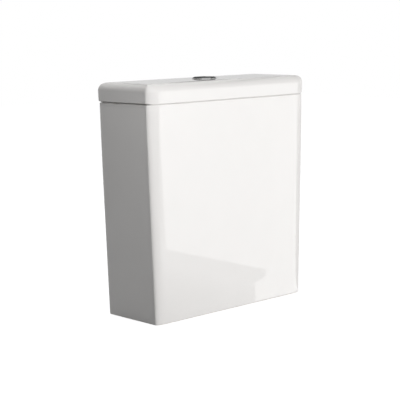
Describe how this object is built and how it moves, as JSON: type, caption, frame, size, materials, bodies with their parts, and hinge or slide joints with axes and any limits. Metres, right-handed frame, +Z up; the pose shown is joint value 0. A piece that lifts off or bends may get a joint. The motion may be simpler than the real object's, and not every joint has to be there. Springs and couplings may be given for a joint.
{
  "type": "toilet cistern",
  "caption": "Slim close coupled toilet cistern in white glazed ceramic with a lift-off lid, split chrome push button, dual flush valve and float operated fill valve.",
  "frame": {"origin": "centre of the footprint at the tank's bottom edge", "axes": "+Z up, -Y is the front that faces the room, +Y is the flat back against the wall, +X is to the right seen from the front"},
  "size_m": [0.368, 0.1275, 0.3953],
  "materials": {
    "vitreous_china": "white gloss glaze",
    "chrome_plated_abs": "bright chrome plating",
    "white_abs": "moulded, satin gloss",
    "natural_polypropylene": "moulded, matt",
    "grey_polypropylene": "moulded, matt",
    "blue_acetal": "moulded, satin",
    "pale_blue_acetal": "moulded, satin",
    "black_rubber": "moulded EPDM rubber",
    "red_silicone": "moulded silicone rubber",
    "zinc_steel": "bright zinc plating"
  },
  "bodies": {
    "cistern": {"tank": "vitreous_china", "valve_base": "white_abs", "valve_base_washer": "black_rubber", "outlet_backnut": "natural_polypropylene", "coupling_gasket": "black_rubber", "valve_cage": "white_abs", "valve_bridge": "grey_polypropylene", "lever_pins": "zinc_steel", "fill_shank": "natural_polypropylene", "fill_shank_washer": "black_rubber", "fill_backnut": "natural_polypropylene", "inlet_filter": "grey_polypropylene", "fill_column": "white_abs", "fill_valve_head": "white_abs", "fill_valve_cap": "grey_polypropylene", "fill_diaphragm": "black_rubber", "float_lever_pin": "zinc_steel", "coupling_bolts": "zinc_steel", "bolt_cone_washers": "black_rubber", "bolt_plain_washers": "zinc_steel", "bolt_nuts": "zinc_steel"},
    "cover": {"lid": "vitreous_china", "button_bezel": "chrome_plated_abs", "button_washer": "black_rubber", "button_locknut": "white_abs", "full_button_spring": "zinc_steel", "half_button_spring": "zinc_steel"},
    "full_button": {"full_flush_button": "chrome_plated_abs", "full_push_rod": "white_abs"},
    "half_button": {"half_flush_button": "chrome_plated_abs", "half_push_rod": "white_abs"},
    "full_lever": {"full_flush_lever": "blue_acetal"},
    "half_lever": {"half_flush_lever": "pale_blue_acetal"},
    "flush_stem": {"overflow_tube": "white_abs", "lift_collar": "blue_acetal", "flush_seal": "red_silicone", "seal_retainer": "natural_polypropylene"},
    "short_float": {"half_flush_float": "pale_blue_acetal"},
    "water_float": {"fill_float": "natural_polypropylene", "float_rod": "white_abs"},
    "shut_off_lever": {"float_lever": "blue_acetal"}
  },
  "joints": [
    {"name": "lid_lift", "type": "slide", "parent": "cistern", "child": "cover", "axis": [0, 0, 1], "range_m": [0, 0.15]},
    {"name": "full_press", "type": "slide", "parent": "cover", "child": "full_button", "axis": [0, 0, -1], "range_m": [0, 0.007], "stiffness_N_per_m": 300, "springref_m": -0.005, "deforming": ["full_button_spring"]},
    {"name": "half_press", "type": "slide", "parent": "cover", "child": "half_button", "axis": [0, 0, -1], "range_m": [0, 0.007], "stiffness_N_per_m": 300, "springref_m": -0.005, "deforming": ["half_button_spring"]},
    {"name": "full_rock", "type": "hinge", "parent": "cistern", "child": "full_lever", "pos_m": [-0.0085, 0.001, 0.282], "axis": [0, 1, 0], "range_deg": [0, 25.2]},
    {"name": "stem_lift", "type": "slide", "parent": "cistern", "child": "flush_stem", "axis": [0, 0, 1], "range_m": [0, 0.009]},
    {"name": "half_rock", "type": "hinge", "parent": "cistern", "child": "half_lever", "pos_m": [0.0085, 0.001, 0.282], "axis": [0, -1, 0], "range_deg": [0, 25.2]},
    {"name": "short_float_lift", "type": "slide", "parent": "cistern", "child": "short_float", "axis": [0, 0, 1], "range_m": [0, 0.009]},
    {"name": "float_rise", "type": "slide", "parent": "cistern", "child": "water_float", "axis": [0, 0, 1], "range_m": [0, 0.0102]},
    {"name": "shut_off", "type": "hinge", "parent": "cistern", "child": "shut_off_lever", "pos_m": [-0.112, 0.001, 0.27369], "axis": [0, -1, 0], "range_deg": [0, 24]}
  ],
  "couplings": [
    {"joint": "full_rock", "follows": "full_press", "rad_per_m": 62.58},
    {"joint": "stem_lift", "follows": "full_press", "ratio": 1.285},
    {"joint": "half_rock", "follows": "half_press", "rad_per_m": 62.58},
    {"joint": "short_float_lift", "follows": "half_press", "ratio": 1.285},
    {"joint": "shut_off", "follows": "float_rise", "rad_per_m": 41.05}
  ]
}
